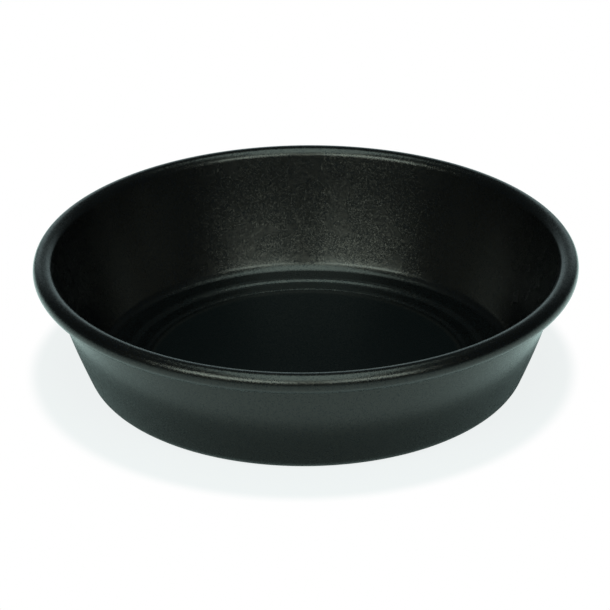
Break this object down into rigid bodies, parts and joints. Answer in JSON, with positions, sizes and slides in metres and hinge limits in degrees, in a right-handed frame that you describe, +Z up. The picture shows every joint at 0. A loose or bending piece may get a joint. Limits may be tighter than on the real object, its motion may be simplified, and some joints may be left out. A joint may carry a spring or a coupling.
{
  "type": "tartlet tin",
  "caption": "Small round plain-sided tartlet tin with a flared side, a rolled rim and a loose base plate that lifts straight out to free the bake.",
  "frame": {"origin": "centre of the foot, on the surface that the tin stands on", "axes": "+Z up along the tin's axis, X and Y across the rim"},
  "size_m": [0.1, 0.1, 0.0235],
  "materials": {
    "ring_coating": "satin charcoal non-stick coating with a fine metallic fleck",
    "base_coating": "satin charcoal non-stick coating with a fine metallic fleck",
    "wire_steel": "bare drawn steel wire"
  },
  "bodies": {
    "ring": {"side_ring": "ring_coating", "rim_wire": "wire_steel"},
    "base": {"loose_base": "base_coating"}
  },
  "joints": [
    {"name": "base_lift", "type": "slide", "parent": "ring", "child": "base", "axis": [0, 0, 1], "range_m": [0, 0.04]}
  ]
}
